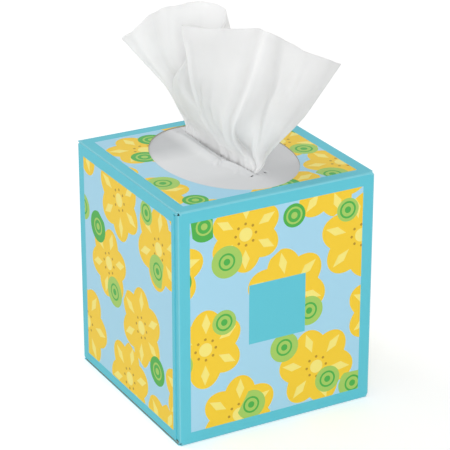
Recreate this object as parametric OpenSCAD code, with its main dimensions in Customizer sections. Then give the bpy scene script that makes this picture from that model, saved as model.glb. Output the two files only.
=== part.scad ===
// Upright tissue box: a folded and glued carton with an oval opening, a slit film window under
// the opening, a bent stack of interfolded tissues, and the first tissue drawn up through the slit.
// The origin is at the centre of the carton's base. -Y is the front, +Z is up.

/* [Carton] */
// Width of the carton, left to right
carton_w = 110; // [95:1:160]
// Depth of the carton, front to back
carton_d = 110; // [104:1:160]
// Height of the carton
carton_h = 125; // [95:1:200]
// Thickness of the board
board_t = 0.5; // [0.3:0.05:0.8]
// Inside radius of a fold in the board
fold_r = 0.4; // [0.2:0.1:1]
// Gap cut away between a flap's hinge and the corner of the carton
hinge_relief = 0.3; // [0.1:0.1:1]
// How far the top panel and the bottom panel stop short of the walls' outer faces
panel_trim = 0.2; // [0.1:0.1:1]
// Width of the flap that glues the left wall to the front wall
glue_flap_w = 14; // [8:1:25]
// Distance from the front left corner to the left wall's free edge
seam_set = 4; // [1:0.5:6]
// Taper at each end of the glue flap
glue_flap_taper = 4; // [1:1:10]
// Length of the two dust flaps of the bottom
dust_flap_l = 42; // [20:1:48]
// Taper at each end of a dust flap of the bottom
dust_flap_taper = 5; // [1:1:12]
// Length of the bottom's inner long flap
inner_flap_l = 68; // [40:1:90]

/* [Opening] */
// Distance from the oval opening to the carton's left and right sides
opening_side = 20.5; // [15:0.5:30]
// Distance from the oval opening to the carton's front and back
opening_end = 7; // [6:0.5:20]
// How far the top's narrow flaps stay clear of the opening
opening_clear = 1.5; // [0.5:0.5:3.5]

/* [Film window] */
// Thickness of the film and its glue
film_t = 0.15; // [0.1:0.05:0.3]
// Width of film glued to the top panel beside the opening
film_margin = 10; // [4:1:12]
// Distance from the film's front and back edges to the walls
film_end_gap = 2.5; // [1.5:0.5:4]
// Radius of the film's corners
film_corner_r = 6; // [1:1:15]
// Distance from the slit's front end to the edge of the opening
slit_front = 14; // [10:1:20]
// Distance from the slit's back end to the edge of the opening
slit_back = 6; // [4:1:14]
// Width of the slit at its middle, held open by the tissue
slit_w = 7; // [5:0.5:8]
// Length of the short cross cut at each end of the slit
cross_cut_l = 10; // [4:1:16]
// Width that a cross cut gapes
cross_cut_w = 0.8; // [0.4:0.1:2]

/* [Stack] */
// Thickness of the stack of tissues before it is bent
stack_t = 32; // [15:1:36]
// Inside radius of the bend in the stack
bend_r = 5; // [2:1:10]
// Room between the stack and the front and back walls
stack_gap = 0.9; // [0.8:0.1:3]
// Room between the stack and the glue flap on the left, and as much on the right
stack_side_gap = 2; // [0.5:0.5:10]
// Air between the top of the stack and the film
crown_gap = 8; // [6:0.5:20]
// Width of the flat that each leg stands on
foot_w = 3; // [1:0.5:6]

/* [Drawn tissue] */
// Thickness of one two-ply tissue
tissue_t = 0.3; // [0.2:0.05:0.4]
// Width of a tissue along the fold
tissue_w = 213; // [120:1:230]
// Height of the tissue's highest point above the film
tissue_rise = 82; // [70:1:100]
// Number of gathers in the slit
gathers = 15; // [6:1:16]
// Room between the gathered tissue and the edges of the slit
slit_clear = 0.25; // [0.2:0.05:0.5]
// Part of the slit's length that the gathered tissue fills
slit_fill = 0.92; // [0.86:0.01:0.94]
// Radius at which the tissue turns from the slit onto the stack
turn_r = 8; // [5:0.5:12]
// How far left of the slit the tissue folds back on itself
fold_back = 30; // [20:1:40]
// Distance from the tissue's lower edge to the right side of the stack
tail_set = 4; // [1:1:20]
// Room between layers of tissue that lie on each other
layer_gap = 0.12; // [0.1:0.01:0.2]

/* [Hidden] */
$fn = 64;

// A cut reaches this far past the face that it goes through
overcut = 1;

// Carton: heights of the three layers of board at the bottom and of the two at the top
fold_out = fold_r + board_t;
inner_panel_z = board_t;
dust_z = 2 * board_t;
floor_z = 3 * board_t;
panel_under_z = carton_h - board_t;
film_under_z = panel_under_z - film_t;

// Length of a wall, and distance from the middle of the carton to its outer face. Wall 0 is the
// front, 1 the right, 2 the back and 3 the left.
function wall_l(wall) = wall % 2 == 0 ? carton_w : carton_d;
function wall_out(wall) = wall % 2 == 0 ? carton_d / 2 : carton_w / 2;
function hinge_w(wall) = wall_l(wall) - 2 * (fold_out + hinge_relief);

// Heights between which all four walls are straight, where their corner folds run
corner_z0 = dust_z + fold_out;
corner_z1 = film_under_z - fold_out;

// Opening, film and slit. The slit is the shape that two equal arcs enclose.
opening_w = carton_w - 2 * opening_side;
opening_l = carton_d - 2 * opening_end;
slit_l = opening_l - slit_front - slit_back;
slit_mid = (slit_front - slit_back) / 2;
film_w = opening_w + 2 * film_margin;
film_l = carton_d - 2 * (board_t + film_end_gap);
slit_arc_r = (slit_l * slit_l + slit_w * slit_w) / (4 * slit_w);
function slit_half(y) =
    sqrt(pow(slit_arc_r, 2) - pow(y - slit_mid, 2)) - slit_arc_r + slit_w / 2;

// Stack: an upside-down U seen from the side, with its legs against the front and back walls
stack_d = carton_d - 2 * (board_t + stack_gap);
stack_w = carton_w - 2 * (2 * board_t + stack_side_gap);
crown_z = film_under_z - crown_gap;
crown_r = stack_t + bend_r;
crown_flat = stack_d / 2 - crown_r;
// The inner tissues go round a tighter bend, so their ends reach lower by a quarter turn
leg_slant = stack_t * PI / 2;

// Tissue: rows run from its lower edge, up through the slit, to its upper edge, and each gather
// has an even number of columns
fewest_columns = 60;
columns = 2 * gathers * ceil(fewest_columns / 2 / gathers);
neck_l = slit_l * slit_fill;
neck_z0 = film_under_z - slit_clear;
neck_z1 = panel_under_z + board_t;
layer_h1 = tissue_t / 2 + layer_gap;
layer_h2 = layer_h1 + tissue_t + layer_gap;
tail_reach = stack_w / 2 - tail_set;
lower_rows = 12;
upper_rows = 6;
turn_rows = 4;
stand_rows = 16;
// How soon the gathers fade above the slit
gather_fade = 2.2;

// The part that stands above the slit is a loft through four profiles. Each profile runs from the
// tissue's back corner to its front corner, over the same folds. The first lies in the slit, and is
// given as shares of the neck's length from its back end.
fold_feet = [0, 0.03, 0.06, 0.09, 0.17, 0.26, 0.38, 0.54, 0.66, 0.76, 0.86, 0.93, 1];

// A point of the other three is how far right of the slit's middle, how far back of it and how high
// above the film, as shares of the tissue's rise.
collar = [
    [-0.17, 0.34, 0.34], [-0.09, 0.31, 0.35], [0.01, 0.28, 0.37], [0.06, 0.24, 0.40],
    [-0.15, 0.28, 0.32], [-0.18, 0.18, 0.34], [-0.18, 0.09, 0.35], [-0.16, -0.06, 0.36],
    [-0.19, -0.17, 0.37], [-0.17, -0.29, 0.35], [-0.13, -0.39, 0.33], [0, -0.43, 0.35],
    [0.17, -0.63, 0.36]
];
waist = [
    [-0.38, 0.29, 0.60], [-0.25, 0.22, 0.64], [-0.06, 0.21, 0.65], [0.13, 0.10, 0.69],
    [-0.24, 0.13, 0.56], [-0.22, 0.08, 0.58], [-0.21, 0.02, 0.60], [-0.25, -0.08, 0.60],
    [-0.22, -0.21, 0.61], [-0.15, -0.35, 0.63], [-0.06, -0.45, 0.64], [0.08, -0.53, 0.62],
    [0.28, -0.73, 0.60]
];
upper_edge = [
    [-0.52, 0.27, 0.77], [-0.36, 0.13, 0.96], [-0.12, 0.09, 1.00], [0.08, 0.06, 0.92],
    [0.02, -0.02, 0.88], [-0.10, -0.02, 0.89], [-0.17, -0.05, 0.90], [-0.29, -0.09, 0.92],
    [-0.18, -0.24, 0.93], [-0.07, -0.37, 0.95], [0.02, -0.48, 0.96], [0.13, -0.58, 0.90],
    [0.37, -0.79, 0.78]
];

// Smooth curve through a list of points, where t is 0 at the first and 1 at the last
function through(points, t) =
    let (last = len(points) - 1, at = min(t * last, last - 0.001), i = floor(at), k = at - i)
    let (a = points[max(i - 1, 0)], b = points[i], c = points[i + 1], d = points[min(i + 2, last)])
    b + 0.5 * k * (c - a + k * (2 * a - 5 * b + 4 * c - d + k * (3 * (b - c) + d - a)));

function profile_point(profile, u) =
    [0, slit_mid, film_under_z] + through(profile, u) * tissue_rise;

// Zigzag from -1 to 1 that turns once for each gather
function zigzag(u) =
    let (turn = u * gathers - floor(u * gathers))
    turn < 0.5 ? 4 * turn - 1 : 3 - 4 * turn;

function neck_y(u) = slit_mid + neck_l * (0.5 - through(fold_feet, u));
function gather_depth(u) = slit_half(neck_y(u)) - tissue_t / 2 - slit_clear;
function neck_point(u, z) = [zigzag(u) * gather_depth(u), neck_y(u), z];

// Point of the standing part, where v is 0 at the slit and 1 at the upper edge. The gathers open
// into broad folds as they rise.
function standing_point(u, v) =
    let (foot = [0, neck_y(u), neck_z1])
    let (above = [for (profile = [collar, waist, upper_edge]) profile_point(profile, u)])
    through(concat([foot], above), v) + [zigzag(u) * gather_depth(u) * pow(1 - v, gather_fade), 0, 0];

// Point over the stack's outer face, s along it from the middle of the crown, h off it
function over_stack(x, s, h) =
    let (past = abs(s) - crown_flat, quarter = crown_r * PI / 2)
    let (angle = min(max(past, 0), quarter) / crown_r * 180 / PI)
    let (down = max(past - quarter, 0))
    let (side = s < 0 ? -1 : 1)
    [
        x,
        side * (min(abs(s), crown_flat) + (crown_r + h) * sin(angle)),
        crown_z - crown_r + (crown_r + h) * cos(angle) - down
    ];

// Distance along the stack's outer face to the place below y
function along_stack(y) =
    let (past = abs(y) - crown_flat, side = y < 0 ? -1 : 1)
    past <= 0 ? y : side * (crown_flat + crown_r * asin(past / crown_r) * PI / 180);

// Path of the part in the carton, seen from the front: how far right of the slit, how high over
// the stack, and how far the gathers have spread, from 0 at the slit to 1 at the lower edge.
fold_spread = 0.3;
lower_path = concat(
    [for (i = [0:lower_rows]) let (k = i / lower_rows)
        [tail_reach - (tail_reach + fold_back) * k, layer_h1, 1 - (1 - fold_spread) * k]],
    [[-fold_back - tissue_t - layer_gap, (layer_h1 + layer_h2) / 2, fold_spread]],
    [for (i = [0:upper_rows]) let (k = i / upper_rows)
        [-fold_back + (fold_back - turn_r) * k, layer_h2, fold_spread * (1 - k)]]
);

function spread_s(u, spread) =
    let (narrow = along_stack(neck_y(u)), wide = tissue_w * (0.5 - u))
    narrow + (wide - narrow) * spread;

// Quarter turn from the stack up into the slit, where k is 0 on the stack and 1 at the slit
function turn_point(u, k) =
    let (low = over_stack(0, along_stack(neck_y(u)), layer_h2), high = neck_point(u, neck_z0))
    [
        high[0] * pow(sin(90 * k), 2) - turn_r * (1 - sin(90 * k)),
        neck_y(u),
        low[2] + (high[2] - low[2]) * (1 - cos(90 * k))
    ];

function tissue_row_points(u) = concat(
    [for (p = lower_path) over_stack(p[0], spread_s(u, p[2]), p[1])],
    [for (i = [1:turn_rows]) turn_point(u, i / turn_rows)],
    [for (i = [0:stand_rows]) standing_point(u, i / stand_rows)]
);

function direction(v) = v / max(norm(v), 0.000001);

// Normal of the sheet at column i and row j, from the neighbours of that point
function sheet_normal(grid, i, j) =
    let (last_i = len(grid) - 1, last_j = len(grid[0]) - 1)
    let (across = grid[min(i + 1, last_i)][j] - grid[max(i - 1, 0)][j])
    let (up = grid[i][min(j + 1, last_j)] - grid[i][max(j - 1, 0)])
    direction(cross(across, up));

// Closed sheet of thickness t along a grid of points, one list of points for each column. The
// cells are split the other way on each side of the middle, so that they lie on a round surface.
module thin_sheet(grid, t) {
    n = len(grid);
    m = len(grid[0]);
    one_face = [for (i = [0:n - 1]) for (j = [0:m - 1])
        grid[i][j] + sheet_normal(grid, i, j) * t / 2];
    other_face = [for (i = [0:n - 1]) for (j = [0:m - 1])
        grid[i][j] - sheet_normal(grid, i, j) * t / 2];
    size = n * m;
    near_cells = [for (i = [0:n - 2]) for (j = [0:m - 2]) if (i < (n - 1) / 2) i * m + j];
    far_cells = [for (i = [0:n - 2]) for (j = [0:m - 2]) if (i >= (n - 1) / 2) i * m + j];
    rim = concat(
        [for (j = [0:m - 1]) j],
        [for (i = [1:n - 1]) i * m + m - 1],
        [for (j = [m - 2:-1:0]) (n - 1) * m + j],
        [for (i = [n - 2:-1:1]) i * m]
    );
    polyhedron(
        points = concat(one_face, other_face),
        faces = concat(
            [for (c = near_cells) each [[c, c + m, c + 1], [c + m, c + m + 1, c + 1]]],
            [for (c = far_cells) each [[c, c + m, c + m + 1], [c, c + m + 1, c + 1]]],
            [for (c = near_cells) each [
                [size + c, size + c + 1, size + c + m],
                [size + c + m, size + c + 1, size + c + m + 1]
            ]],
            [for (c = far_cells) each [
                [size + c, size + c + m + 1, size + c + m],
                [size + c, size + c + 1, size + c + m + 1]
            ]],
            [for (k = [0:len(rim) - 1]) let (a = rim[k], b = rim[(k + 1) % len(rim)])
                [a, b, size + b]],
            [for (k = [0:len(rim) - 1]) let (a = rim[k], b = rim[(k + 1) % len(rim)])
                [a, size + b, size + a]]
        )
    );
}

// Puts its children on a wall, with x along the wall, y inwards from its outer face and z up
module on_wall(wall) {
    rotate([0, 0, 90 * wall])
        translate([0, -wall_out(wall), 0])
            children();
}

// A quarter of a fold, seen from its end
module fold_quarter() {
    intersection() {
        difference() {
            circle(fold_out);
            circle(fold_r);
        }
        square(fold_out);
    }
}

// Straight part of a wall between two heights
module wall_panel(x0, x1, z0, z1) {
    translate([x0, 0, z0 + fold_out])
        cube([x1 - x0, board_t, z1 - z0 - 2 * fold_out]);
}

// Fold along a wall's edge, at height z, with the flap above or below the wall
module hinge(width, z, above) {
    turn = above ? 1 : -1;
    translate([-width / 2, fold_out, z - turn * fold_out])
        rotate([90, 0, 90])
            linear_extrude(width)
                mirror([1, 0])
                    scale([1, turn])
                        fold_quarter();
}

// Flat part of a flap, seen from above. It may widen past its hinge, over shoulders at 45 degrees,
// and then runs to its tip.
module flap_outline(hinge_width, full_width, tip_width, length) {
    shoulder = (full_width - hinge_width) / 2;
    right_side = concat(
        [[hinge_width / 2, fold_out]],
        shoulder > 0 ? [[full_width / 2, fold_out + shoulder]] : [],
        [[tip_width / 2, length]]
    );
    last = len(right_side) - 1;
    left_side = [for (i = [last:-1:0]) [-right_side[i][0], right_side[i][1]]];
    polygon(concat(right_side, left_side));
}

module flap(wall, z, above, full_width, tip_width, length) {
    hinge(hinge_w(wall), z, above);
    translate([0, 0, above ? z - board_t : z])
        linear_extrude(board_t)
            flap_outline(hinge_w(wall), full_width, tip_width, length);
}

// Front wall, with the bottom's outer panel and the top panel folded from it
module front_wall() {
    full_width = carton_w - 2 * panel_trim;
    full_length = carton_d - panel_trim;
    wall_panel(-carton_w / 2 + board_t + fold_out, carton_w / 2 - fold_out, 0, carton_h);
    flap(0, 0, false, full_width, full_width, full_length);
    difference() {
        flap(0, carton_h, true, full_width, full_width, full_length);
        translate([0, carton_d / 2, panel_under_z - overcut])
            linear_extrude(board_t + 2 * overcut)
                scale([opening_w / opening_l, 1])
                    circle(d = opening_l, $fn = 128);
    }
}

// Back wall, with the bottom's inner panel and a narrow top flap with mitred ends
module back_wall() {
    flap_l = (carton_d - opening_l) / 2 - opening_clear;
    tip_width = hinge_w(2) - 2 * (flap_l - fold_out);
    wall_panel(-carton_w / 2 + fold_out, carton_w / 2 - fold_out, inner_panel_z, film_under_z);
    flap(2, inner_panel_z, false, hinge_w(2), hinge_w(2), inner_flap_l);
    flap(2, film_under_z, true, hinge_w(2), tip_width, flap_l);
}

// Left or right wall between x0 and x1, with its dust flaps
module side_wall(wall, x0, x1) {
    flap_l = (carton_w - opening_w) / 2 - opening_clear;
    tip_width = hinge_w(wall) - 2 * (flap_l - fold_out);
    wall_panel(x0, x1, dust_z, film_under_z);
    flap(wall, dust_z, false, hinge_w(wall), hinge_w(wall) - 2 * dust_flap_taper, dust_flap_l);
    flap(wall, film_under_z, true, hinge_w(wall), tip_width, flap_l);
}

// Upright corner fold with its outer corner at [x, y]
module corner_fold(x, y) {
    turn_x = x < 0 ? -1 : 1;
    turn_y = y < 0 ? -1 : 1;
    translate([x - turn_x * fold_out, y - turn_y * fold_out, corner_z0])
        linear_extrude(corner_z1 - corner_z0)
            scale([turn_x, turn_y])
                fold_quarter();
}

// Flap folded back from the front wall and glued inside the left wall
module glue_flap() {
    translate([-carton_w / 2 + board_t, -carton_d / 2 + fold_out, 0])
        rotate([90, 0, 90])
            linear_extrude(board_t)
                polygon([
                    [0, corner_z0],
                    [glue_flap_w - fold_out, corner_z0 + glue_flap_taper],
                    [glue_flap_w - fold_out, corner_z1 - glue_flap_taper],
                    [0, corner_z1]
                ]);
}

module carton() {
    half_w = carton_w / 2;
    half_d = carton_d / 2;
    color("#6cc4d4")
        union() {
            on_wall(0) front_wall();
            on_wall(1) side_wall(1, -half_d + fold_out, half_d - fold_out);
            on_wall(2) back_wall();
            on_wall(3) side_wall(3, -half_d + fold_out, half_d - seam_set);
            corner_fold(half_w, -half_d);
            corner_fold(half_w, half_d);
            corner_fold(-half_w, half_d);
            corner_fold(-half_w + board_t, -half_d);
            glue_flap();
        }
}

module slit_outline() {
    intersection() {
        translate([slit_arc_r - slit_w / 2, 0])
            circle(slit_arc_r, $fn = 256);
        translate([slit_w / 2 - slit_arc_r, 0])
            circle(slit_arc_r, $fn = 256);
    }
    for (end = [-1, 1])
        translate([0, end * slit_l / 2])
            square([cross_cut_l, cross_cut_w], center = true);
}

module film_window() {
    corner_x = film_w / 2 - film_corner_r;
    corner_y = film_l / 2 - film_corner_r;
    color("#cfd3d5", 0.7)
        translate([0, 0, film_under_z])
            linear_extrude(film_t)
                difference() {
                    union() {
                        square([2 * corner_x, film_l], center = true);
                        square([film_w, 2 * corner_y], center = true);
                        for (x = [-corner_x, corner_x])
                            for (y = [-corner_y, corner_y])
                                translate([x, y])
                                    circle(film_corner_r);
                    }
                    translate([0, slit_mid])
                        slit_outline();
                }
}

// An upright shape with a flat foot at z0 and a top at z1 with round corners
module arch_outline(width, radius, z0, z1) {
    for (side = [-1, 1])
        translate([side * (width / 2 - radius), z1 - radius])
            circle(radius);
    translate([-width / 2, z0])
        square([width, z1 - radius - z0]);
    translate([-width / 2 + radius, z0])
        square([width - 2 * radius, z1 - z0]);
}

module tissue_stack() {
    hollow_half = stack_d / 2 - stack_t;
    color("#f4f4f2")
        rotate([90, 0, 90])
            linear_extrude(stack_w, center = true)
                difference() {
                    arch_outline(stack_d, crown_r, floor_z, crown_z);
                    arch_outline(2 * hollow_half, bend_r, floor_z - overcut, crown_z - stack_t);
                    for (side = [-1, 1])
                        scale([side, 1])
                            polygon([
                                [hollow_half + foot_w, floor_z],
                                [stack_d / 2 + overcut, floor_z - overcut],
                                [stack_d / 2 + overcut, floor_z + leg_slant + overcut],
                                [stack_d / 2, floor_z + leg_slant]
                            ]);
                }
}

module drawn_tissue() {
    color("white")
        thin_sheet([for (i = [0:columns]) tissue_row_points(i / columns)], tissue_t);
}

carton();
film_window();
tissue_stack();
drawn_tissue();
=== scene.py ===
import math

import bpy
import numpy as np
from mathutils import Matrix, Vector


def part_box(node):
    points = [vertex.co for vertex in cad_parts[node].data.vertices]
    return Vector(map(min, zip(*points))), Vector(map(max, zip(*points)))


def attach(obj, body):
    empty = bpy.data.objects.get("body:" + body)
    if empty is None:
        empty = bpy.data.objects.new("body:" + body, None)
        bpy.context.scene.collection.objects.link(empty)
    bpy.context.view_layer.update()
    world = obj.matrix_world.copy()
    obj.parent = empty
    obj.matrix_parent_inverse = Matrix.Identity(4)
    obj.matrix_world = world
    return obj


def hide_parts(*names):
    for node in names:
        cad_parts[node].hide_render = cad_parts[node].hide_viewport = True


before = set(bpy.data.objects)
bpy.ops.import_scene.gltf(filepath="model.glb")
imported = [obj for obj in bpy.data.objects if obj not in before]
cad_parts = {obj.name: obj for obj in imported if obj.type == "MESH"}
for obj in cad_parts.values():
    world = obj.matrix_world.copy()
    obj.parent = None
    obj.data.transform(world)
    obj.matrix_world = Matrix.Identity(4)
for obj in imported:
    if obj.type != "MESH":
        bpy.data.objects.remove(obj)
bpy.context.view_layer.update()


# Camera, floor and light: the box stands on a plain white floor under soft studio light, seen from
# the front left and a little above. The floor shows white to the camera, and the world shows white
# to the camera and in reflections.
MM = 0.001
CAMERA_AT = Vector((-466.1, -845.7, 501.4)) * MM
CAMERA_TURN = math.radians(-28.909)
CAMERA_DOWN = math.radians(23.218)
CAMERA_LENS = 164.95
SENSOR_WIDTH = 36.0

camera = bpy.data.objects.new("camera", bpy.data.cameras.new("camera"))
camera.data.lens = CAMERA_LENS
camera.data.sensor_width = SENSOR_WIDTH
camera.location = CAMERA_AT
camera.rotation_euler = (math.pi / 2 - CAMERA_DOWN, 0.0, CAMERA_TURN)
bpy.context.scene.collection.objects.link(camera)
bpy.context.scene.camera = camera
bpy.context.scene.view_settings.view_transform = "Standard"


class Wire:
    """One output of a node. Arithmetic on it adds Math nodes to its tree, so that a pattern
    reads as a formula. Wire(tree) is the start of a tree, and make() adds any other node."""

    def __init__(self, tree, socket=None):
        self.tree = tree
        self.socket = socket

    def make(self, kind, settings=None, values=None, output=0):
        """A new node of the kind: its settings, the values or wires of its inputs, and which of
        its outputs to give back."""
        node = self.tree.nodes.new(kind)
        for name, setting in (settings or {}).items():
            setattr(node, name, setting)
        for name, value in (values or {}).items():
            if isinstance(value, Wire):
                self.tree.links.new(value.socket, node.inputs[name])
            elif node.inputs[name].type == "RGBA":
                node.inputs[name].default_value = (*value, 1.0)
            else:
                node.inputs[name].default_value = value
        return Wire(self.tree, node.outputs[output])

    def out(self, name):
        """Another output of the same node."""
        return Wire(self.tree, self.socket.node.outputs[name])

    def math(self, operation, *values):
        return self.make("ShaderNodeMath", {"operation": operation}, dict(enumerate(values)))

    def __add__(self, other):
        return self.math("ADD", self, other)

    def __sub__(self, other):
        return self.math("SUBTRACT", self, other)

    def __mul__(self, other):
        return self.math("MULTIPLY", self, other)

    def __truediv__(self, other):
        return self.math("DIVIDE", self, other)

    def __pow__(self, other):
        return self.math("POWER", self, other)

    def __lt__(self, other):
        return self.math("LESS_THAN", self, other)

    def __gt__(self, other):
        return self.math("GREATER_THAN", self, other)

    def __abs__(self):
        return self.math("ABSOLUTE", self)

    def __radd__(self, other):
        return self.math("ADD", other, self)

    def __rsub__(self, other):
        return self.math("SUBTRACT", other, self)

    __rmul__ = __mul__

    def least(self, other):
        return self.math("MINIMUM", self, other)

    def most(self, other):
        return self.math("MAXIMUM", self, other)

    def ramp(self, start, length):
        """0 up to the start, rising to 1 over the length, and 1 after it."""
        return ((self - start) / length).most(0.0).least(1.0)

    def pick(self, low, high):
        """low where this is 0 and high where it is 1, for numbers."""
        return low + (high - low) * self

    def tint(self, low, high):
        """low where this is 0 and high where it is 1, for colours."""
        return self.make("ShaderNodeMix", {"data_type": "RGBA"}, {0: self, 6: low, 7: high}, 2)


def srgb(red, green, blue):
    """A colour given as 0 to 255 on a screen, as the linear values that shaders take."""
    parts = [c / 255 for c in (red, green, blue)]
    return tuple(c / 12.92 if c <= 0.04045 else ((c + 0.055) / 1.055) ** 2.4 for c in parts)


def new_material(name):
    """An empty material, its start wire and its Principled shader."""
    material = bpy.data.materials.new(name)
    material.use_nodes = True
    tree = material.node_tree
    shader = next(n for n in tree.nodes if n.type == "BSDF_PRINCIPLED")
    return material, Wire(tree), shader


def plug(wire, shader, socket):
    """Links a wire to a socket of the shader."""
    wire.tree.links.new(wire.socket, shader.inputs[socket])


FLOOR_SIDE = 12.0
FLOOR_COLOUR = srgb(243, 243, 243)
FLOOR_GLOW = (0.33, 0.33, 0.33)
NO_GLOW = (0.0, 0.0, 0.0)
WORLD_LIGHT = 0.60

floor_mesh = bpy.data.meshes.new("floor")
half_floor = FLOOR_SIDE / 2
floor_mesh.from_pydata(
    [(x * half_floor, y * half_floor, 0.0) for x, y in ((-1, -1), (1, -1), (1, 1), (-1, 1))],
    [], [(0, 1, 2, 3)],
)
floor = bpy.data.objects.new("floor", floor_mesh)
bpy.context.scene.collection.objects.link(floor)
floor_material, start, shader = new_material("white_floor")
shader.inputs["Base Color"].default_value = (*FLOOR_COLOUR, 1.0)
shader.inputs["Roughness"].default_value = 0.9
shader.inputs["Emission Strength"].default_value = 1.0
seen = start.make("ShaderNodeLightPath", output="Is Camera Ray")
plug(seen.tint(NO_GLOW, FLOOR_GLOW), shader, "Emission Color")
floor_mesh.materials.append(floor_material)

world = bpy.data.worlds.new("studio")
bpy.context.scene.world = world
world.use_nodes = True
background = next(n for n in world.node_tree.nodes if n.type == "BACKGROUND")
ray = Wire(world.node_tree).make("ShaderNodeLightPath", output="Is Camera Ray")
shown_white = ray.most(ray.out("Is Glossy Ray")).most(ray.out("Is Transmission Ray"))
background.inputs["Color"].default_value = (1.0, 1.0, 1.0, 1.0)
plug(shown_white.pick(WORLD_LIGHT, 1.0), background, "Strength")

# Place, size in metres and power in watts of each soft lamp, all aimed at the box
LAMPS = {
    "key": ((-1.0, -2.35, 1.15), 1.6, 29.0),
    "side": ((-2.5, -0.3, 1.0), 1.2, 1.5),
    "back": ((-1.2, 2.0, 1.7), 1.4, 19.0),
}
AIM = Vector((0.0, 0.0, 0.12))
for name, (place, side, power) in LAMPS.items():
    lamp = bpy.data.lights.new(name, "AREA")
    lamp.energy = power
    lamp.size = side
    lamp_object = bpy.data.objects.new(name, lamp)
    lamp_object.location = place
    lamp_object.rotation_euler = (AIM - Vector(place)).to_track_quat("-Z", "Y").to_euler()
    bpy.context.scene.collection.objects.link(lamp_object)


# Carton: one sheet of coated board, printed outside, scored, folded and glued. Inside and at its
# cut edges it is plain grey-brown pulp. The print is a teal border round a field of large blossoms
# and small green beads, with a bare teal square on the front.
TEAL = srgb(92, 197, 214)
# A paler teal for the folds: partly wear, partly a painted highlight where a rounded fold catches
# the light
FOLD_HIGHLIGHT_TEAL = srgb(150, 214, 225)
GROUND_BLUE = srgb(166, 214, 236)
GOLD = srgb(245, 205, 44)
PALE_YELLOW = srgb(247, 231, 124)
SEED_BROWN = srgb(186, 146, 30)
LIGHT_GREEN = srgb(163, 204, 95)
DARK_GREEN = srgb(72, 175, 70)
RAW_BOARD = srgb(186, 172, 152)
RAW_FLECK = srgb(146, 128, 106)
WHITE = (1.0, 1.0, 1.0)

# The board, its border and its bare square, in millimetres
BOARD_T = 0.5
FOLD_OUT = 0.9
BORDER = 6.5
LABEL_HALF = 16.0
LABEL_Z = 63.0

# Where the board counts as printed, in millimetres: how deep under its outside, on a face and
# along a fold, how wide the bands along folds and at corners are, how far the seam's flap shows,
# and how far inside the walls an oval lies that holds the cut rim of the opening
FACE_SKIN, FOLD_SKIN = 0.06, 2.0
FOLD_BAND = 1.5
CORNER_BAND, CORNER_BAND_H = 2.2, 1.6
SEAM_W = 4.05
RIM_X, RIM_Y = 12.0, 4.0
# How strongly folds and corner bands are tinted paler: wear plus a painted highlight
FOLD_WEAR_AND_HIGHLIGHT = 0.45

# Shares of a normal along an axis: the least for a face that points along it, the least for a
# side wall, the most for a face that stands upright, and the least for one that turns outwards
FACES, FACES_SIDE = 0.7, 0.72
UPRIGHT = 0.3
TURNS_OUT = 0.1

low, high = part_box("carton")
half_w, half_d = (high.x - low.x) / 2 / MM, (high.y - low.y) / 2 / MM
carton_h = (high.z - low.z) / MM
half_h = carton_h / 2

board, start, shader = new_material("printed_board")
place = start.make("ShaderNodeTexCoord", output="Object")
in_mm = start.make("ShaderNodeVectorMath", {"operation": "SCALE"}, {0: place, "Scale": 1 / MM})
x = in_mm.make("ShaderNodeSeparateXYZ", values={0: in_mm}, output="X")
y, level = x.out("Y"), x.out("Z") - half_h
facing = place.out("Normal")
nx = facing.make("ShaderNodeSeparateXYZ", values={0: facing}, output="X")
ny, nz = nx.out("Y"), nx.out("Z")

# Depth under the carton's rounded outer skin, and whether a face turns outwards
past_x = (abs(x) - (half_w - FOLD_OUT)).most(0.0)
past_y = (abs(y) - (half_d - FOLD_OUT)).most(0.0)
past_z = (abs(level) - (half_h - FOLD_OUT)).most(0.0)
depth = FOLD_OUT - (past_x * past_x + past_y * past_y + past_z * past_z) ** 0.5
outward = (nx * x / half_w + ny * y / half_d + nz * level / half_h) > TURNS_OUT

# The print covers the outside and the folds and leaves the rim of the opening raw; the corner
# bands count as printed inside too, painted light over the shaded gap where the flaps meet
by_x, by_y = abs(x) > half_w - CORNER_BAND, abs(y) > half_d - CORNER_BAND
corner_painted_light = by_x * by_y * (abs(level) > half_h - CORNER_BAND_H)
at_fold = (abs(x) > half_w - FOLD_BAND).most(abs(y) > half_d - FOLD_BAND)
seam_strip = (x < 2 * BOARD_T - half_w) * (y < SEAM_W - half_d) * (nx < 0.6)
in_opening = (x / (half_w - RIM_X)) ** 2 + (y / (half_d - RIM_Y)) ** 2 < 1.0
rim_cut = (abs(nz) < UPRIGHT) * in_opening
skin = depth < at_fold.pick(FACE_SKIN, FOLD_SKIN)
printed = (skin.most(seam_strip) * outward).most(corner_painted_light) * (1 - rim_cut)
rounded = (past_x * past_y).most(past_y * past_z).most(past_x * past_z) > 0.02
worn_and_highlit = rounded.most(corner_painted_light) * printed

# Place on the face, from its middle, and a shift that gives each face its own part of the print.
# The window, where the field of motifs shows inside the border, is on every face but the base.
SHIFT_RIGHT, SHIFT_LEFT, SHIFT_BACK, SHIFT_TOP = 217.0, 431.0, 653.0, 877.0
on_top = abs(nz) > FACES
across = (abs(nx) > FACES_SIDE).pick(x, y)
up = on_top.pick(level, y)
half_up = on_top.pick(half_h - BORDER, half_d - BORDER)
window = (abs(across) < half_w - BORDER) * (abs(up) < half_up) * (nz > -0.5)
label = (ny < -FACES) * (abs(x) < LABEL_HALF) * (abs(level + half_h - LABEL_Z) < LABEL_HALF)
shift = (nx > FACES) * SHIFT_RIGHT + (nx < -FACES) * SHIFT_LEFT
shift = shift + (ny > FACES) * SHIFT_BACK + (nz > FACES) * SHIFT_TOP


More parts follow.
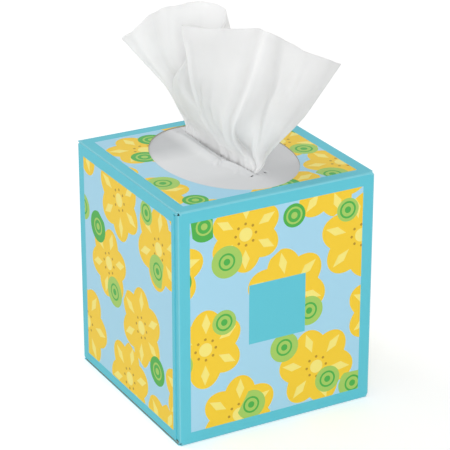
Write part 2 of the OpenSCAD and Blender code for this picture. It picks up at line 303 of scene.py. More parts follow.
def scatter(pitch, turn, spread, offset):
    """A field of motif centres on the face: how far a point lies from the nearest centre, in
    millimetres, its angle round it, and two random numbers of that motif."""
    along = (across + shift + offset) * (math.cos(turn) / pitch) + up * (math.sin(turn) / pitch)
    over = up * (math.cos(turn) / pitch) - (across + shift + offset) * (math.sin(turn) / pitch)
    spot = start.make("ShaderNodeCombineXYZ", values={"X": along, "Y": over})
    cell = start.make(
        "ShaderNodeTexVoronoi", {"voronoi_dimensions": "2D"},
        {"Vector": spot, "Scale": 1.0, "Randomness": spread}, "Position",
    )
    away = start.make("ShaderNodeVectorMath", {"operation": "SUBTRACT"}, {0: spot, 1: cell})
    right = start.make("ShaderNodeSeparateXYZ", values={0: away}, output="X")
    right, above = right * pitch, right.out("Y") * pitch
    chance = start.make("ShaderNodeSeparateColor", values={0: cell.out("Color")}, output="Red")
    distance = (right * right + above * above) ** 0.5
    return distance, start.math("ARCTAN2", above, right), chance, chance.out("Green")


# Large blossoms: round petals with a pale streak in each, and a ring of seeds at the middle. A
# streak is widest at a share of the blossom's radius and runs out a share of it either way.
BLOSSOM_R = 21.5
PETALS = 6
PETAL_DEPTH = 0.22
MOST_TURN = 6.28
STREAK_HALF_W = 2.3
STREAK_AT, STREAK_REACH = 0.66, 0.26
SEEDS = 8
SEED_RING_R, SEED_R = 5.6, 0.74
HEART_R = 3.6
distance, angle, size_chance, turn_chance = scatter(pitch=46.0, turn=0.42, spread=0.22, offset=0.0)
blossom_r = BLOSSOM_R * (0.9 + size_chance * 0.2)
in_petal = (angle + turn_chance * MOST_TURN) * (PETALS / 2)
petal = abs(start.math("COSINE", in_petal))
blossom = distance < blossom_r * (1 - PETAL_DEPTH + petal * PETAL_DEPTH)
off_axis = abs(start.math("SINE", in_petal)) * distance * (2 / PETALS)
streak = off_axis < STREAK_HALF_W * (1 - abs(distance / blossom_r - STREAK_AT) / STREAK_REACH)
round_ring = start.math("FRACT", angle * (SEEDS / math.tau) + 10.0) - 0.5
along_ring = round_ring * (math.tau * SEED_RING_R / SEEDS)
off_ring = distance - SEED_RING_R
seeds = along_ring * along_ring + off_ring * off_ring < SEED_R ** 2
heart = distance < HEART_R

# Small green beads in two tones, with a ring and a dot in each, given as shares of the radius
BEAD_R = 7.4
RING_IN, RING_OUT, DOT = 0.48, 0.62, 0.24
NO_BEAD, DARK_BEAD = 0.42, 0.7
distance, angle, kind_chance, size_chance = scatter(pitch=27.0, turn=0.95, spread=0.9, offset=55.0)
bead = (distance < BEAD_R * (0.8 + size_chance * 0.35)) * (kind_chance > NO_BEAD)
bead_ring = (distance < BEAD_R * RING_OUT) * (distance > BEAD_R * RING_IN)
bead_mark = bead_ring.most(distance < BEAD_R * DOT)
dark = kind_chance > DARK_BEAD

art = blossom.tint(GROUND_BLUE, GOLD)
art = (blossom * streak).tint(art, PALE_YELLOW)
art = (blossom * seeds).tint(art, SEED_BROWN)
art = (blossom * heart).tint(art, PALE_YELLOW)
bead_colour = dark.tint(LIGHT_GREEN, DARK_GREEN)
bead_colour = bead_mark.tint(bead_colour, dark.tint(DARK_GREEN, LIGHT_GREEN))
art = bead.tint(art, bead_colour)
ink = (window * (1 - label)).tint(TEAL, art)
# Folds and corner bands are tinted paler teal: partly rubbed wear, partly a painted highlight
# along the rounded folds, and painted light over the shaded gap at the corners
ink = (worn_and_highlit * FOLD_WEAR_AND_HIGHLIGHT).tint(ink, FOLD_HIGHLIGHT_TEAL)

# Coated print outside, flecked pulp inside and at the cuts, with relief in millimetres
PULP_RELIEF, PRINT_RELIEF, BOARD_WAVE = 0.05, 0.006, 0.5
PULP_ROUGHNESS, PRINT_ROUGHNESS = 0.92, 0.42
grain = start.make(
    "ShaderNodeTexNoise", values={"Vector": in_mm, "Scale": 1.6, "Detail": 4.0, "Roughness": 0.7}
)
wave = start.make("ShaderNodeTexNoise", values={"Vector": in_mm, "Scale": 0.03, "Detail": 1.0})
pulp = (grain * grain).tint(RAW_BOARD, RAW_FLECK)
ink = (grain * 0.03).tint(ink, WHITE)
plug(printed.tint(pulp, ink), shader, "Base Color")
plug(printed.pick(PULP_ROUGHNESS, PRINT_ROUGHNESS + grain * 0.08), shader, "Roughness")
shader.inputs["Specular IOR Level"].default_value = 0.25
relief = printed.pick(grain * PULP_RELIEF, grain * PRINT_RELIEF) + wave * BOARD_WAVE
bump = start.make("ShaderNodeBump", values={"Height": relief, "Distance": MM, "Strength": 0.6})
plug(bump, shader, "Normal")
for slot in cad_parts["carton"].material_slots:
    slot.material = board


# Film window: one patch of thin milky plastic film, glued under the top panel behind the oval
# opening. It is cut along a slit with a short cross cut at each end, and the tissue drawn through
# it turns the slit's edges up into a low lip and pinches the film beside it.
FILM_T = 0.08
FILM_GREY = srgb(243, 244, 245)
FILM_SHADE = srgb(204, 206, 208)
FILM_ALPHA = 0.88
SLIT_HALF_L, SLIT_HALF_W = 37.0, 2.8
SLIT_SHIFT = 5.0
SLIT_BEND = 2.6
SLIT_LEFT = 0.45
OVAL_HALF_W, OVAL_HALF_L = 34.5, 48.0

film_low, film_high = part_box("film_window")
film_z = film_high.z / MM
film_half_w, film_half_l = film_high.x / MM, film_high.y / MM

# The film's colour carries painted shade: lighter in the middle and darker at the back, at the
# front, on the right where the tissue's shadow falls, and close to the slit on the left, over a
# faint random cloud. Each ramp is a start and a length in millimetres.
film_material, start, shader = new_material("milky_film")
place = start.make("ShaderNodeTexCoord", output="Object")
in_mm = start.make("ShaderNodeVectorMath", {"operation": "SCALE"}, {0: place, "Scale": 1 / MM})
x = in_mm.make("ShaderNodeSeparateXYZ", values={0: in_mm}, output="X")
y = x.out("Y")
cloud = start.make("ShaderNodeTexNoise", values={"Vector": place, "Scale": 22.0, "Detail": 1.0})
to_back = y.ramp(8.0, 16.0) * abs(x).ramp(5.0, 8.0)
to_front = (0.0 - y).ramp(18.0, 10.0)
to_right = x.ramp(1.0, 11.0)
by_slit = x.ramp(-6.0, 2.0) * (x < 0.5) * y.ramp(2.0, 10.0)
# Painted shade: how much each place is darkened, by the weights of its ramps
shaded = cloud * 0.35 + to_back * 0.72 + to_front * 0.22 + to_right * 0.28 + by_slit * 0.4
plug(shaded.least(1.0).tint(FILM_GREY, FILM_SHADE), shader, "Base Color")
plug(0.42 + cloud * 0.12, shader, "Roughness")
shader.inputs["Specular IOR Level"].default_value = 0.3

# The cross cuts: middle, direction, half length, and how far their two ends gape
FRONT_CUT = (SLIT_BEND + 0.6, SLIT_SHIFT - SLIT_HALF_L + 2.0, 0.23, 5.4, 0.45)
BACK_CUT = (0.0, SLIT_SHIFT + SLIT_HALF_L, 0.0, 5.0, 0.15)
CUT_HALF_W = 0.06
CUT_END = 1.0
cut = 0.0
for cut_x, cut_y, turn, half_cut, gape in (FRONT_CUT, BACK_CUT):
    along = abs((x - cut_x) * math.cos(turn) + (y - cut_y) * math.sin(turn))
    off = abs((y - cut_y) * math.cos(turn) - (x - cut_x) * math.sin(turn))
    swell = (1 - ((along - (half_cut - CUT_END)) / CUT_END) ** 2).most(0.0)
    cut = cut + (along < half_cut) * (off < CUT_HALF_W + swell * gape)
plug(FILM_ALPHA * (1 - cut), shader, "Alpha")

# The film's shape: a grid whose middle column opens along the slit, lifted by rule. Sizes are in
# millimetres, and the slit's left share is how wide its left half is, as a share of its right one.
FILM_COLUMNS, FILM_ROWS = 129, 180
FILM_SIZES = {
    "Half width": film_half_w, "Half length": film_half_l, "Height": film_z - FILM_T / 2,
    "Slit half length": SLIT_HALF_L, "Slit half width": SLIT_HALF_W, "Slit shift": SLIT_SHIFT,
    "Slit bend": SLIT_BEND, "Slit left share": SLIT_LEFT, "Left lip": 1.6, "Right lip": 1.3,
    "Lip crest": 4.3, "Lip outer width": 3.4, "Sag": 0.9, "Ripple": 0.5,
}
film_tree = bpy.data.node_groups.new("stretched_film", "GeometryNodeTree")
film_tree.interface.new_socket("Film", in_out="OUTPUT", socket_type="NodeSocketGeometry")
for name in FILM_SIZES:
    film_tree.interface.new_socket(name, in_out="INPUT", socket_type="NodeSocketFloat")
start = Wire(film_tree)
given = start.make("NodeGroupInput")
grid = start.make("GeometryNodeMeshGrid", values={
    "Size X": 2.0, "Size Y": 2.0, "Vertices X": FILM_COLUMNS + 1, "Vertices Y": FILM_ROWS + 1,
})
at = start.make("GeometryNodeInputPosition")
grid_x = start.make("ShaderNodeSeparateXYZ", values={0: at}, output="X")
y = given.out("Half length") * start.math("SINE", grid_x.out("Y") * (math.pi / 2))
from_middle = abs(y - given.out("Slit shift"))

# The slit is bounded by two arcs, of which the left one lies closer to the middle
slit_l, slit_w = given.out("Slit half length"), given.out("Slit half width")
arc_r = (slit_l * slit_l + slit_w * slit_w) / (slit_w * 2.0)
edge = ((arc_r * arc_r - from_middle * from_middle).most(0.0) ** 0.5 - arc_r + slit_w).most(0.0)
middle_column = 1.0 / FILM_COLUMNS
opened = (abs(grid_x) < middle_column / 2) * (edge > 0.0)
cut_open = start.make(
    "GeometryNodeDeleteGeometry", {"domain": "FACE"}, {"Geometry": grid, "Selection": opened}
)
on_left = grid_x < 0.0
edge = edge * on_left.pick(1.0, given.out("Slit left share"))

# Columns crowd towards the slit, and the film stays flat where it is glued, outside the oval
CROWDING = 1.8
HELD_RIM = 4.0
out = ((abs(grid_x) - middle_column).most(0.0) / (1 - middle_column)) ** CROWDING
x = start.math("SIGN", grid_x) * (edge + (given.out("Half width") - edge) * out)
rim = 1 - ((x / OVAL_HALF_W) ** 2 + (y / OVAL_HALF_L) ** 2).least(1.0) ** 0.5
hold = (rim * HELD_RIM).least(1.0) ** 2

# The lip: a low ridge along the slit, steeper on its inside. It gets lower towards the slit's
# ends, and its crest closes in on the slit towards the front end, over 11 mm.
END_LOSS = 0.5
CLOSED_SHARE = 0.2
INNER_SHARE, INNER_LEAST = 0.62, 1.2
past_end = (from_middle - slit_l).most(0.0)
beside = ((abs(x) - edge).most(0.0) ** 2 + past_end ** 2) ** 0.5
lip = on_left.pick(given.out("Right lip"), given.out("Left lip"))
lip = lip * (1 - (from_middle / slit_l).least(1.0) ** 3 * END_LOSS)
crest = given.out("Lip crest") * y.ramp(-15.0, 11.0).most(CLOSED_SHARE)
from_crest = beside - crest
lip_inner = (crest * INNER_SHARE).most(INNER_LEAST)
lip_width = (from_crest > 0.0).pick(lip_inner, given.out("Lip outer width"))
lift = lip * start.math("EXPONENT", 0 - (from_crest / lip_width) ** 2)

# Pinches: place, direction of the crest and height, all of one width and length
PINCHES = [
    (-8.0, -8.0, 3.9, 1.9), (-7.6, -6.5, 2.6, 1.3), (-7.5, 9.0, 3.3, 0.5),
    (-5.5, -22.0, 3.9, 0.6), (-6.5, 27.0, 2.9, 0.5), (7.0, -12.0, 5.7, 0.5), (6.0, 16.0, 0.3, 0.5),
]
PINCH_W, PINCH_L = 0.8, 2.4
for pinch_x, pinch_y, turn, height in PINCHES:
    ahead = (x - pinch_x) * math.cos(turn) + (y - pinch_y) * math.sin(turn)
    off = (y - pinch_y) * math.cos(turn) - (x - pinch_x) * math.sin(turn)
    pinch = start.math("EXPONENT", 0 - (off / PINCH_W) ** 2 - (ahead / PINCH_L) ** 2)
    lift = lift + height * pinch


def unevenness(wide, long, seed, detail):
    """A soft random rise and fall over the film, from -0.5 to 0.5, of the size given."""
    spot = start.make("ShaderNodeCombineXYZ", values={"X": x / wide, "Y": y / long, "Z": seed})
    values = {"Vector": spot, "Scale": 1.0, "Detail": detail}
    return start.make("ShaderNodeTexNoise", values=values) - 0.5


# A slack sag over the whole film, and ripples that die out away from the slit
RIPPLE_REACH = 6.0
sag = unevenness(26.0, 34.0, seed=4.0, detail=2.0) * given.out("Sag") * 2
ripple = unevenness(4.0, 7.0, seed=9.0, detail=1.0) * given.out("Ripple")
lift = lift + sag + ripple * start.math("EXPONENT", 0 - beside / RIPPLE_REACH)
bend = (given.out("Slit shift") - y).ramp(0.0, slit_l) ** 2 * given.out("Slit bend")
x = x + bend * (1 - out) ** 2
lifted = given.out("Height") + lift * hold
point = start.make("ShaderNodeCombineXYZ", values={"X": x, "Y": y, "Z": lifted})
point = start.make("ShaderNodeVectorMath", {"operation": "SCALE"}, {0: point, "Scale": MM})
shaped = start.make("GeometryNodeSetPosition", values={"Geometry": cut_open, "Position": point})
joined = start.make("GeometryNodeMergeByDistance", values={"Geometry": shaped, "Distance": 1e-6})
plain = start.make("GeometryNodeRealizeInstances", values={"Geometry": joined})
painted = start.make(
    "GeometryNodeSetMaterial", values={"Geometry": plain, "Material": film_material}
)
ending = film_tree.nodes.new("NodeGroupOutput")
film_tree.links.new(painted.socket, ending.inputs[0])


def closed_sheet(name, mesh, thickness, material, tree=None, sizes=None):
    """A thin sheet with a thickness, smooth, with its faces outwards and one material. Its
    middle surface is the mesh, or what the tree makes with the sizes given."""
    made = bpy.data.objects.new(name, mesh)
    bpy.context.scene.collection.objects.link(made)
    if tree:
        shape = made.modifiers.new("shape", "NODES")
        shape.node_group = tree
        for socket in tree.interface.items_tree:
            if socket.in_out == "INPUT":
                shape[socket.identifier] = sizes[socket.name]
    solid = made.modifiers.new("thickness", "SOLIDIFY")
    solid.thickness = thickness
    solid.offset = 0.0
    solid.use_even_offset = False
    evaluated = made.evaluated_get(bpy.context.evaluated_depsgraph_get())
    ready = bpy.data.meshes.new_from_object(evaluated)
    made.modifiers.clear()
    made.data = ready
    ready.name = name
    ready.materials.clear()
    ready.materials.append(material)
    for polygon in ready.polygons:
        polygon.use_smooth = True
    return made


film = closed_sheet(
    "film", bpy.data.meshes.new("film"), FILM_T * MM, film_material, film_tree, FILM_SIZES
)
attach(film, "root")
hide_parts("film_window")


# Tissue stack: a clip of interfolded two-ply tissues, bent into an upside-down U so that it stands
# in the upright carton. Its sides show the sheets' folds as fine lines that follow the bend.
STACK_T = 32.0
INNER_BEND_R = 5.0
SHEET_PITCH = 0.5
TISSUE_WHITE = srgb(251, 251, 251)
GAP_GREY = srgb(206, 206, 208)

stack_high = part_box("tissue_stack")[1]
crown_z = stack_high.z / MM
crown_r = STACK_T + INNER_BEND_R
crown_flat = stack_high.y / MM - crown_r

stack_material, start, shader = new_material("stacked_tissue")
place = start.make("ShaderNodeTexCoord", output="Object")
in_mm = start.make("ShaderNodeVectorMath", {"operation": "SCALE"}, {0: place, "Scale": 1 / MM})
x = in_mm.make("ShaderNodeSeparateXYZ", values={0: in_mm}, output="X")
y, z = x.out("Y"), x.out("Z")
round_y = (abs(y) - crown_flat).most(0.0)
round_z = (z - (crown_z - crown_r)).most(0.0)
layer = (round_y * round_y + round_z * round_z) ** 0.5
ragged = start.make("ShaderNodeTexNoise", values={"Vector": in_mm, "Scale": 0.35, "Detail": 3.0})
sheets = start.math("FRACT", layer / SHEET_PITCH + ragged * 1.6 + 100.0)
gap = (1 - abs(sheets - 0.5) * 2.0) ** 3.0
plug(gap.tint(TISSUE_WHITE, GAP_GREY), shader, "Base Color")
shader.inputs["Roughness"].default_value = 0.95
bump = start.make(
    "ShaderNodeBump", values={"Height": 1 - gap, "Distance": 0.3 * MM, "Strength": 0.7}
)
plug(bump, shader, "Normal")
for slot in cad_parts["tissue_stack"].material_slots:
    slot.material = stack_material


# Drawn tissue: the first two-ply tissue, half drawn up through the slit. It is gathered there and
# stands as a fan in three passes, a back lobe, a hidden pass and a front panel. Its lower half
# lies folded back on the stack under the film.
TISSUE_T = 0.18
CUT_W, CUT_L = 213.0, 208.0
COLUMNS, FAN_ROWS = 340, 110

# Half the neck's length in the slit, its height, and the fan's middle, rise and reach
NECK_HALF = 34.6
NECK_Z = film_z + 0.7
FAN_MIDDLE = 4.0
RISE, REACH = 79.8, 82.0

# The fan's profiles run over the same folds, from the sheet's back corner to its front corner:
# where each fold lies across the sheet, where it starts along the neck, and the points that it
# passes at the collar, the waist and the upper edge. A point is how far right of the slit's
# middle, how far back of it and how high above the film's underside, as shares of REACH and RISE.
FOLD_PLACES = [0, 0.13, 0.24, 0.34, 0.39, 0.45, 0.48, 0.54, 0.63, 0.70, 0.77, 0.84, 1]
FOLD_FEET = [0, 0.03, 0.06, 0.09, 0.17, 0.26, 0.38, 0.54, 0.66, 0.76, 0.86, 0.93, 1]
COLLAR = [
    (-0.17, 0.34, 0.34), (-0.09, 0.31, 0.35), (0.01, 0.28, 0.37), (0.06, 0.24, 0.40),
    (-0.15, 0.28, 0.32), (-0.18, 0.18, 0.34), (-0.18, 0.09, 0.35), (-0.16, -0.06, 0.36),
    (-0.19, -0.17, 0.37), (-0.17, -0.29, 0.35), (-0.13, -0.39, 0.33), (0, -0.43, 0.35),
    (0.17, -0.63, 0.36),
]
WAIST = [
    (-0.38, 0.29, 0.60), (-0.25, 0.22, 0.64), (-0.06, 0.21, 0.65), (0.13, 0.10, 0.69),
    (-0.20, 0.13, 0.56), (-0.19, 0.08, 0.58), (-0.20, 0.02, 0.60), (-0.25, -0.08, 0.60),
    (-0.22, -0.21, 0.61), (-0.15, -0.35, 0.63), (-0.06, -0.45, 0.64), (0.08, -0.53, 0.62),
    (0.28, -0.73, 0.60),
]
UPPER_EDGE = [
    (-0.52, 0.27, 0.77), (-0.36, 0.13, 0.96), (-0.12, 0.09, 1.00), (0.08, 0.06, 0.92),
    (0.0, 0.0, 0.81), (-0.10, -0.02, 0.85), (-0.17, -0.05, 0.89), (-0.29, -0.09, 0.92),
    (-0.18, -0.24, 0.93), (-0.07, -0.37, 0.95), (0.02, -0.48, 0.96), (0.13, -0.58, 0.90),
    (0.37, -0.79, 0.78),
]


def along_curve(points, t):
    """Points on a smooth curve through the given ones, t running from 0 to 1 over its length."""
    points = np.asarray(points, float)
    spans = len(points) - 1
    at = np.minimum(t * spans, spans - 1e-6)
    i = at.astype(int)
    f = (at - i)[:, None]
    a = points[np.maximum(i - 1, 0)]
    b, c = points[i], points[i + 1]
    d = points[np.minimum(i + 2, spans)]
    return b + 0.5 * f * (c - a + f * (2 * a - 5 * b + 4 * c - d + f * (3 * (b - c) + d - a)))


def blur(grid, axis, radius):
    """The grid smoothed along one axis, with its ends kept in place."""
    reach = int(radius * 3) + 1
    weights = np.exp(-0.5 * (np.arange(-reach, reach + 1) / radius) ** 2)
    weights /= weights.sum()
    grid = np.moveaxis(grid, axis, 0)
    before = 2 * grid[:1] - grid[reach:0:-1]
    after = 2 * grid[-1:] - grid[-2:-reach - 2:-1]
    wide = np.concatenate([before, grid, after])
    soft = sum(w * wide[i:i + len(grid)] for i, w in enumerate(weights))
    return np.moveaxis(soft, 0, axis)


def ramp(values, start, length):
    """0 up to the start, rising to 1 over the length, and 1 after it."""
    return np.clip((values - start) / length, 0, 1)


def slit_at(y_mm):
    """Half the slit's width at a place along it, and how far right its middle lies there."""
    arc_r = (SLIT_HALF_L ** 2 + SLIT_HALF_W ** 2) / (2 * SLIT_HALF_W)
    half = np.sqrt(arc_r ** 2 - (y_mm - SLIT_SHIFT) ** 2) - arc_r + SLIT_HALF_W
    bend = SLIT_BEND * ramp(SLIT_SHIFT - y_mm, 0, SLIT_HALF_L) ** 2
    return half * (1 + SLIT_LEFT) / 2, bend + half * (1 - SLIT_LEFT) / 2


# The loft: u runs across the sheet and v up the fan, from the neck through the three profiles
u, v = np.linspace(0, 1, COLUMNS + 1), np.linspace(0, 1, FAN_ROWS + 1)[:, None]
order = np.interp(u, FOLD_PLACES, np.linspace(0, 1, len(FOLD_PLACES)))
feet = along_curve(np.array(FOLD_FEET)[:, None], order)[:, 0]
feet_y = SLIT_SHIFT + NECK_HALF * (1 - 2 * feet)
neck = np.stack([slit_at(feet_y)[1], feet_y, np.full_like(feet, NECK_Z)], axis=1)
slit_middle = np.array([0.0, FAN_MIDDLE, film_low.z / MM])
shares = np.array([REACH, REACH, RISE])
above = [slit_middle + along_curve(p, order) * shares for p in (COLLAR, WAIST, UPPER_EDGE)]
folds = np.stack([neck, *above], axis=1)
fan = np.stack([along_curve(fold, v[:, 0]) for fold in folds], axis=1)
fan = blur(fan, 1, COLUMNS / 160)
off_sheet = np.cross(np.gradient(fan, axis=1), np.gradient(fan, axis=0))
off_sheet /= np.linalg.norm(off_sheet, axis=2, keepdims=True)

# The gathers: a few deep ones and many shallow ones between them. They are as deep as the slit is
# wide, less a clearance, and deeper just above it. Each dies out at a height of its own, between
# two shares of the fan's height.
DEEP_GATHERS, FINE_GATHERS = 8, 21
DEEP_SHARE = 0.62
SLIT_CLEAR = 0.3
LEAST_DEPTH = 0.1
DIE_OUT = (0.35, 0.8)


def gather_wave(u):
    """How far the sheet waves to either side across its width, from -1 to 1. Each wave is bent by
    a slower one, so that its gathers are unevenly spaced."""
    deep = np.sin(math.tau * DEEP_GATHERS * u + 1.3 * np.sin(math.tau * 3 * u + 0.6))
    fine = np.sin(math.tau * FINE_GATHERS * u + 1.1 * np.sin(math.tau * 5 * u))
    return DEEP_SHARE * deep + (1 - DEEP_SHARE) * fine


random = np.random.default_rng(seed=7)
gather_depth = np.clip(slit_at(fan[0, :, 1])[0] - SLIT_CLEAR, LEAST_DEPTH, None)
ends = np.linspace(0, 1, DEEP_GATHERS + 1)
dies_at = np.interp(u, ends, random.uniform(*DIE_OUT, DEEP_GATHERS + 1))
swell = 0.8 + 0.7 * ramp(v, 0.07, 0.12)
gather = gather_wave(u) * gather_depth * swell * np.clip(1 - v / dies_at, 0, 1) ** 1.3

# The sheet leaves the slit upright, between the film's lips, and only then leans out
UPRIGHT_H = 9.0
UPRIGHT_SHARE = 0.7
height = fan[..., 2:] - NECK_Z
lean = fan[..., :2] - fan[:1, :, :2]
fan[..., :2] -= lean * UPRIGHT_SHARE * np.exp(-(height / UPRIGHT_H) ** 2)

# The front edge is tucked to the right at the foot, and leans out less just above
TUCK_H = (0.0, 2.5, 5.0, 8.0, 11.0, 15.0, 20.0, 26.0, 34.0)
TUCK = (0.0, 1.6, 1.9, 0.6, -1.0, -2.1, -2.1, -1.2, 0.0)
TUCK_TOWARDS = np.array([0.88, -0.48])
tuck = np.interp(fan[..., 2] - NECK_Z, TUCK_H, TUCK) * ramp(u, 0.86, 0.12)
fan[..., :2] += tuck[..., None] * TUCK_TOWARDS

# Creases: ridges and hollows that run from the neck towards the upper edge. Each is given by how
# wide it is before its line and after it, across the sheet, and by the points of its line: how
# high up the fan, where across the sheet, and how far it stands towards the front, in
# millimetres, or away from it where negative.
CREASES = [
    (0.06, 0.02, (0.2, 0.75, 0.0), (0.3, 0.752, -0.9), (0.45, 0.757, -1.0), (0.7, 0.755, -0.8),
     (1.0, 0.757, -0.4)),
    (0.014, 0.016, (0.2, 0.77, 0.0), (0.3, 0.775, 1.0), (0.5, 0.778, 1.6), (0.8, 0.778, 1.6),
     (1.0, 0.778, 1.0)),
    (0.016, 0.045, (0.02, 0.90, -1.0), (0.05, 0.885, -2.4), (0.13, 0.815, -4.4),
     (0.21, 0.79, -4.2), (0.30, 0.785, -2.0), (0.42, 0.785, 0.0)),
    (0.03, 0.03, (0.05, 0.93, 0.5), (0.13, 0.87, 1.6), (0.25, 0.85, 1.6), (0.4, 0.84, 0.6),
     (0.6, 0.83, 0.0)),
    (0.05, 0.012, (0.08, 0.70, 0.0), (0.13, 0.66, 1.2), (0.23, 0.545, 1.4), (0.36, 0.51, 1.6),
     (0.6, 0.437, 1.0), (0.66, 0.43, 0.0)),
    (0.014, 0.014, (0.2, 0.525, 0.0), (0.3, 0.54, 1.1), (0.48, 0.56, 1.7), (0.75, 0.56, 1.7),
     (1.0, 0.53, 0.9)),
    (0.012, 0.03, (0.1, 0.62, 0.0), (0.18, 0.61, -1.3), (0.3, 0.60, -1.2), (0.55, 0.595, -0.5),
     (0.7, 0.59, 0.0)),
    (0.03, 0.012, (0.06, 0.74, 0.0), (0.14, 0.70, -1.6), (0.28, 0.665, -1.5), (0.5, 0.655, -0.8),
     (0.8, 0.65, 0.0)),
    (0.03, 0.02, (0.1, 0.72, 0.0), (0.18, 0.72, 1.4), (0.3, 0.725, 1.2), (0.5, 0.73, 0.8),
     (0.9, 0.72, 0.3)),
    (0.03, 0.012, (0.15, 0.88, -0.6), (0.34, 0.866, -1.4), (0.56, 0.842, -1.0),
     (0.78, 0.828, -0.8), (1.0, 0.82, -0.2)),
    (0.014, 0.022, (0.2, 0.90, 0.0), (0.34, 0.88, 1.3), (0.56, 0.855, 1.7), (0.78, 0.841, 1.4),
     (1.0, 0.835, 0.3)),
    (0.06, 0.11, (0.12, 0.89, 0.0), (0.35, 0.89, 2.5), (0.6, 0.89, 4.0), (1.0, 0.89, 3.5)),
    (0.02, 0.008, (0.5, 0.905, 0.0), (0.7, 0.90, -1.0), (0.88, 0.90, -0.8), (1.0, 0.90, 0.0)),
    (0.03, 0.015, (0.2, 0.96, 0.0), (0.35, 0.95, -0.9), (0.6, 0.945, -0.7), (1.0, 0.94, 0.0)),
    (0.03, 0.05, (0.0, 0.95, 0.0), (0.05, 0.95, -1.2), (0.1, 0.945, -2.0), (0.2, 0.945, -1.8),
     (0.3, 0.95, 0.0)),
    (0.05, 0.03, (0.3, 0.11, 0.0), (0.5, 0.11, -1.2), (0.8, 0.115, -1.2), (1.0, 0.12, -0.8)),
    (0.02, 0.05, (0.3, 0.16, 0.0), (0.6, 0.17, 1.0), (1.0, 0.18, 0.8)),
    (0.02, 0.04, (0.4, 0.04, 0.0), (0.6, 0.05, 0.8), (0.9, 0.05, 0.8), (1.0, 0.05, 0.6)),
    (0.03, 0.015, (0.4, 0.24, 0.0), (0.7, 0.25, -1.2), (1.0, 0.26, -0.5)),
    (0.03, 0.03, (0.02, 0.10, 0.0), (0.06, 0.11, 1.5), (0.12, 0.13, 1.5), (0.25, 0.15, 0.0)),
]
crease = np.zeros_like(gather)
for before, after, *line in CREASES:
    ups, places, heights = zip(*line)
    off = u - np.interp(v, ups, places)
    height = np.interp(v, (0.0, *ups), (0.0, *heights))
    crease += height * np.clip(1 - np.where(off < 0, -off / before, off / after), 0, 1)
crease = blur(blur(crease, 1, 1.3), 0, 1.6)

# Crumple: a faint unevenness over the whole sheet, and none at its free edges
CRUMPLE = 2.2
crumple = blur(blur(random.normal(size=gather.shape), 0, 5.0), 1, 4.0) * CRUMPLE * ramp(v, 0, 0.3)
free_edge = ramp(np.minimum(u, 1 - u), 0, 0.03)
fan += off_sheet * ((gather + crease + crumple) * free_edge)[..., None]
fan[0, :, 2] = NECK_Z

# Painted shade and light for the fan's material, from how deep each point lies in a fold: hollows
# get painted shade and ridges a painted highlight, the back facet is painted as catching the
# light, and the strip along the front edge gets painted shade as turned from the light
MID_SHADE = 0.33
GATHER_SHADE = 0.25
FULL_SHADE_DEPTH = 4.5
facet = np.interp(u, (0.19, 0.25, 0.44, 0.5), (0.0, 1.0, 1.0, 0.0))
relief = crease + gather * GATHER_SHADE
fan_painted_shade = np.clip(MID_SHADE * (1 - facet) * ramp(v, 0, 0.4) - relief / FULL_SHADE_DEPTH, 0, 1)
fan_painted_shade += np.interp(u, (0.785, 0.82, 0.88, 0.97), (0.0, 0.3, 0.3, 0.9)) * ramp(v, 0.05, 0.35)

# The lower half: from its edge on the stack to a fold on the left, back under the slit, and up.
# Each row is given by how far right of the slit, how high over the stack and how far spread it is.
# Its two layers lie at LAYER_1 and LAYER_2 over the stack.
FOLD_BACK, TAIL_REACH, TURN_R = 32.0, 50.0, 8.0
LAYER_1, LAYER_2 = 0.35, 0.95
FOLD_SPREAD = 0.92
RUFFLE_H = 1.8
TAIL_ROWS, RETURN_ROWS, TURN_ROWS = 15, 7, 6


def over_stack(x_mm, s, h):
    """Points over the stack's round back, s along it from its middle and h off it."""
    past = np.clip(np.abs(s) - crown_flat, 0, None)
    angle = np.minimum(past / crown_r, math.pi / 2)
    down = np.clip(past - crown_r * math.pi / 2, 0, None)
    y_mm = np.sign(s) * (np.minimum(np.abs(s), crown_flat) + (crown_r + h) * np.sin(angle))
    z_mm = crown_z - crown_r + (crown_r + h) * np.cos(angle) - down
    return np.stack([np.broadcast_to(x_mm, y_mm.shape), y_mm, z_mm], axis=1)


neck_x, neck_y, neck_z = fan[0].T
past = np.clip(np.abs(neck_y) - crown_flat, 0, None)
round_back = crown_r * np.arcsin(past / crown_r)
narrow = np.sign(neck_y) * (np.minimum(np.abs(neck_y), crown_flat) + round_back)
wide = CUT_W * (0.5 - u)
path = [
    (TAIL_REACH - (TAIL_REACH + FOLD_BACK) * k, LAYER_1, 1 - (1 - FOLD_SPREAD) * k)
    for k in np.linspace(0, 1, TAIL_ROWS)
]
path += [(-FOLD_BACK - (LAYER_2 - LAYER_1) / 2, (LAYER_1 + LAYER_2) / 2, FOLD_SPREAD)]
path += [
    (-FOLD_BACK + (FOLD_BACK - TURN_R) * k, LAYER_2, FOLD_SPREAD * (1 - k))
    for k in np.linspace(0, 1, RETURN_ROWS)
]
lower = []
for x_mm, h, spread in path:
    ruffle = 0.5 * (1 + gather_wave(u)) * RUFFLE_H * (1 - spread) ** 2 * (h == LAYER_2)
    lower.append(over_stack(x_mm, narrow + (wide - narrow) * spread, h + ruffle))
foot_z = lower[-1][:, 2]
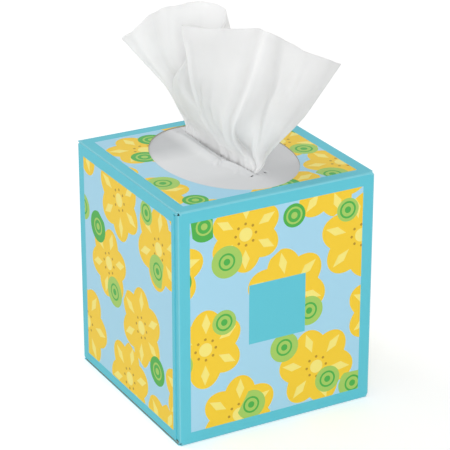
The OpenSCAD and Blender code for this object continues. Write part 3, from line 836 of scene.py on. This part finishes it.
for k in np.linspace(0, 1, TURN_ROWS)[1:-1]:
    turn = k * math.pi / 2
    lower.append(np.stack([
        neck_x * math.sin(turn) ** 2 - TURN_R * (1 - math.sin(turn)),
        neck_y,
        foot_z + (neck_z - foot_z) * (1 - math.cos(turn)),
    ], axis=1))

sheet_rows = np.concatenate([np.array(lower), fan])
row_count, width = sheet_rows.shape[:2]
tissue_mesh = bpy.data.meshes.new("tissue")
tissue_mesh.from_pydata((sheet_rows.reshape(-1, 3) * MM).tolist(), [], [
    (j * width + i, j * width + i + 1, (j + 1) * width + i + 1, (j + 1) * width + i)
    for j in range(row_count - 1) for i in range(width - 1)
])
painted_fold_shade = np.concatenate([np.zeros((len(lower), width)), np.clip(fan_painted_shade, 0, 1)]).ravel()
tissue_mesh.attributes.new("painted_fold_shade", "FLOAT", "POINT").data.foreach_set("value", painted_fold_shade)

# Soft white crepe, a little patchy, with painted shade in its folds and painted light on its
# ridges and back facet. Some of the light that falls on the far side comes through the two plies.
TISSUE_SHADE = srgb(220, 220, 220)
PATCHINESS = 0.5
LIGHT_THROUGH = 0.5
tissue_material, start, shader = new_material("soft_tissue")
place = start.make("ShaderNodeTexCoord", output="Object")
crepe = start.make("ShaderNodeTexNoise", values={"Vector": place, "Scale": 900.0, "Detail": 3.0})
# The attribute carries the fan's painted fold shade and highlight
deep = start.make("ShaderNodeAttribute", {"attribute_name": "painted_fold_shade"}, output="Fac")
ply = start.make("ShaderNodeTexNoise", values={"Vector": place, "Scale": 70.0, "Detail": 2.0})
shaded = (deep + (ply - 0.5) * PATCHINESS).most(0.0).least(1.0)
plug(shaded.tint(TISSUE_WHITE, TISSUE_SHADE), shader, "Base Color")
shader.inputs["Roughness"].default_value = 0.95
bump = start.make(
    "ShaderNodeBump", values={"Height": crepe, "Distance": 0.15 * MM, "Strength": 0.6}
)
plug(bump, shader, "Normal")
glow = start.make("ShaderNodeBsdfTranslucent", values={"Color": TISSUE_WHITE})
skin = Wire(start.tree, shader.outputs["BSDF"])
mixed = start.make("ShaderNodeMixShader", values={0: LIGHT_THROUGH, 1: skin, 2: glow})
output = next(n for n in tissue_material.node_tree.nodes if n.type == "OUTPUT_MATERIAL")
plug(mixed, output, "Surface")
tissue = closed_sheet("tissue", tissue_mesh, TISSUE_T * MM, tissue_material)
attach(tissue, "root")
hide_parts("drawn_tissue")
